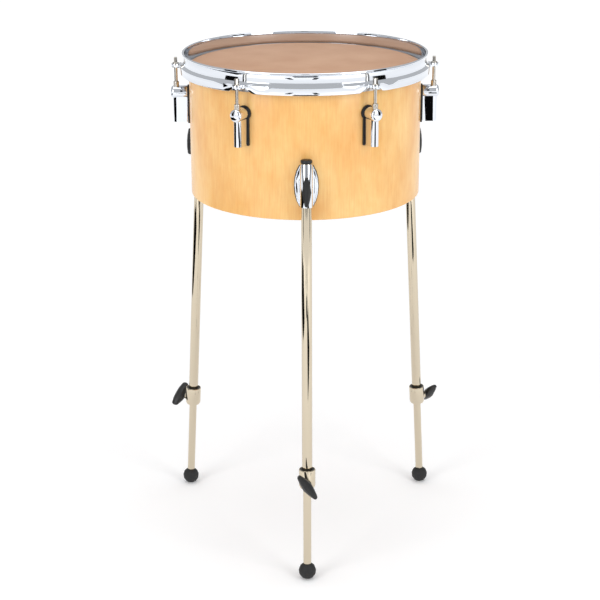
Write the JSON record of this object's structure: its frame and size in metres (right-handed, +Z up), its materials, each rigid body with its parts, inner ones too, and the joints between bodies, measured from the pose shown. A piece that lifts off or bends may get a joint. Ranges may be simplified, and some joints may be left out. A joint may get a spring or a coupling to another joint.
{
  "type": "kettledrum",
  "caption": "Single-headed drum with a ply shell, a flanged hoop pulled down by key-turned rods, and telescopic legs clamped by wing screws.",
  "frame": {"origin": "on the floor at the middle of the space that the drum and its legs take, with the drum's own axis 36.5 mm towards +Y", "axes": "+Z up, -Y towards the front leg"},
  "size_m": [0.5189, 0.5084, 0.8872],
  "materials": {
    "ply_shell": "clear-lacquered honey-coloured maple veneer on ply",
    "skin_head": "tan drum skin, even and matt",
    "hoop_metal": "drawn bar, rolled into a ring",
    "chrome_plate": "bright chrome plate on pressed and cast metal",
    "rod_steel": "nickel-plated steel, turned",
    "nickel_plate": "bright warm nickel plate on steel tube",
    "black_rubber": "matt moulded rubber",
    "black_plastic": "moulded black plastic, slightly worn"
  },
  "bodies": {
    "root": {"shell": "ply_shell", "drumhead": "skin_head", "lug_1": "chrome_plate", "lug_2": "chrome_plate", "lug_3": "chrome_plate", "lug_4": "chrome_plate", "lug_5": "chrome_plate", "lug_6": "chrome_plate", "lug_gasket_1": "black_rubber", "lug_gasket_2": "black_rubber", "lug_gasket_3": "black_rubber", "lug_gasket_4": "black_rubber", "lug_gasket_5": "black_rubber", "lug_gasket_6": "black_rubber", "swivel_nut_1": "rod_steel", "swivel_nut_2": "rod_steel", "swivel_nut_3": "rod_steel", "swivel_nut_4": "rod_steel", "swivel_nut_5": "rod_steel", "swivel_nut_6": "rod_steel", "leg_bracket_1": "chrome_plate", "leg_bracket_2": "chrome_plate", "leg_bracket_3": "chrome_plate", "bracket_gasket_1": "black_rubber", "bracket_gasket_2": "black_rubber", "bracket_gasket_3": "black_rubber"},
    "hoop": {"counterhoop": "chrome_plate", "flesh_hoop": "hoop_metal"},
    "rod_1": {"tension_rod_1": "rod_steel"},
    "rod_2": {"tension_rod_2": "rod_steel"},
    "rod_3": {"tension_rod_3": "rod_steel"},
    "rod_4": {"tension_rod_4": "rod_steel"},
    "rod_5": {"tension_rod_5": "rod_steel"},
    "rod_6": {"tension_rod_6": "rod_steel"},
    "leg_1": {"leg_tube_1": "nickel_plate", "tube_cap_1": "black_plastic", "leg_collar_1": "nickel_plate", "grip_ring_1": "black_plastic"},
    "leg_2": {"leg_tube_2": "nickel_plate", "tube_cap_2": "black_plastic", "leg_collar_2": "nickel_plate", "grip_ring_2": "black_plastic"},
    "leg_3": {"leg_tube_3": "nickel_plate", "tube_cap_3": "black_plastic", "leg_collar_3": "nickel_plate", "grip_ring_3": "black_plastic"},
    "lower_leg_1": {"leg_rod_1": "nickel_plate", "foot_1": "black_rubber"},
    "lower_leg_2": {"leg_rod_2": "nickel_plate", "foot_2": "black_rubber"},
    "lower_leg_3": {"leg_rod_3": "nickel_plate", "foot_3": "black_rubber"},
    "bracket_wing_1": {"bracket_wing_screw_1": "black_plastic"},
    "bracket_wing_2": {"bracket_wing_screw_2": "black_plastic"},
    "bracket_wing_3": {"bracket_wing_screw_3": "black_plastic"},
    "collar_wing_1": {"collar_wing_screw_1": "black_plastic"},
    "collar_wing_2": {"collar_wing_screw_2": "black_plastic"},
    "collar_wing_3": {"collar_wing_screw_3": "black_plastic"}
  },
  "joints": [
    {"name": "hoop_tuning", "type": "slide", "parent": "root", "child": "hoop", "axis": [0, 0, 1], "range_m": [-0.003, 0.003]},
    {"name": "rod_1_turn", "type": "hinge", "parent": "hoop", "child": "rod_1", "pos_m": [0.11265, -0.15862, 0.8648], "axis": [0, 0, 1], "range_deg": [-1085, 1085]},
    {"name": "rod_2_turn", "type": "hinge", "parent": "hoop", "child": "rod_2", "pos_m": [0.2253, 0.0365, 0.8648], "axis": [0, 0, 1], "range_deg": [-1085, 1085]},
    {"name": "rod_3_turn", "type": "hinge", "parent": "hoop", "child": "rod_3", "pos_m": [0.11265, 0.23162, 0.8648], "axis": [0, 0, 1], "range_deg": [-1085, 1085]},
    {"name": "rod_4_turn", "type": "hinge", "parent": "hoop", "child": "rod_4", "pos_m": [-0.11265, 0.23162, 0.8648], "axis": [0, 0, 1], "range_deg": [-1085, 1085]},
    {"name": "rod_5_turn", "type": "hinge", "parent": "hoop", "child": "rod_5", "pos_m": [-0.2253, 0.0365, 0.8648], "axis": [0, 0, 1], "range_deg": [-1085, 1085]},
    {"name": "rod_6_turn", "type": "hinge", "parent": "hoop", "child": "rod_6", "pos_m": [-0.11265, -0.15862, 0.8648], "axis": [0, 0, 1], "range_deg": [-1085, 1085]},
    {"name": "leg_1_height", "type": "slide", "parent": "root", "child": "leg_1", "axis": [0, 0.0605, 0.9982], "range_m": [0, 0.09]},
    {"name": "lower_leg_1_height", "type": "slide", "parent": "leg_1", "child": "lower_leg_1", "axis": [0, 0.0605, 0.9982], "range_m": [-0.1, 0.14]},
    {"name": "bracket_wing_1_turn", "type": "hinge", "parent": "root", "child": "bracket_wing_1", "pos_m": [0, -0.18511, 0.696], "axis": [0, -0.9982, 0.0605], "range_deg": [0, 540]},
    {"name": "collar_wing_1_turn", "type": "hinge", "parent": "leg_1", "child": "collar_wing_1", "pos_m": [0, -0.21618, 0.1835], "axis": [0, -0.9982, 0.0605], "range_deg": [0, 540]},
    {"name": "leg_2_height", "type": "slide", "parent": "root", "child": "leg_2", "axis": [-0.0524, -0.0303, 0.9982], "range_m": [0, 0.09]},
    {"name": "lower_leg_2_height", "type": "slide", "parent": "leg_2", "child": "lower_leg_2", "axis": [-0.0524, -0.0303, 0.9982], "range_m": [-0.1, 0.14]},
    {"name": "bracket_wing_2_turn", "type": "hinge", "parent": "root", "child": "bracket_wing_2", "pos_m": [0.19192, 0.1473, 0.696], "axis": [0.8644, 0.4991, 0.0605], "range_deg": [0, 540]},
    {"name": "collar_wing_2_turn", "type": "hinge", "parent": "leg_2", "child": "collar_wing_2", "pos_m": [0.21883, 0.16284, 0.1835], "axis": [0.8644, 0.4991, 0.0605], "range_deg": [0, 540]},
    {"name": "leg_3_height", "type": "slide", "parent": "root", "child": "leg_3", "axis": [0.0524, -0.0303, 0.9982], "range_m": [0, 0.09]},
    {"name": "lower_leg_3_height", "type": "slide", "parent": "leg_3", "child": "lower_leg_3", "axis": [0.0524, -0.0303, 0.9982], "range_m": [-0.1, 0.14]},
    {"name": "bracket_wing_3_turn", "type": "hinge", "parent": "root", "child": "bracket_wing_3", "pos_m": [-0.19192, 0.1473, 0.696], "axis": [-0.8644, 0.4991, 0.0605], "range_deg": [0, 540]},
    {"name": "collar_wing_3_turn", "type": "hinge", "parent": "leg_3", "child": "collar_wing_3", "pos_m": [-0.21883, 0.16284, 0.1835], "axis": [-0.8644, 0.4991, 0.0605], "range_deg": [0, 540]}
  ],
  "couplings": [
    {"joint": "rod_1_turn", "follows": "hoop_tuning", "rad_per_m": 6283.2},
    {"joint": "rod_2_turn", "follows": "hoop_tuning", "rad_per_m": 6283.2},
    {"joint": "rod_3_turn", "follows": "hoop_tuning", "rad_per_m": 6283.2},
    {"joint": "rod_4_turn", "follows": "hoop_tuning", "rad_per_m": 6283.2},
    {"joint": "rod_5_turn", "follows": "hoop_tuning", "rad_per_m": 6283.2},
    {"joint": "rod_6_turn", "follows": "hoop_tuning", "rad_per_m": 6283.2}
  ]
}
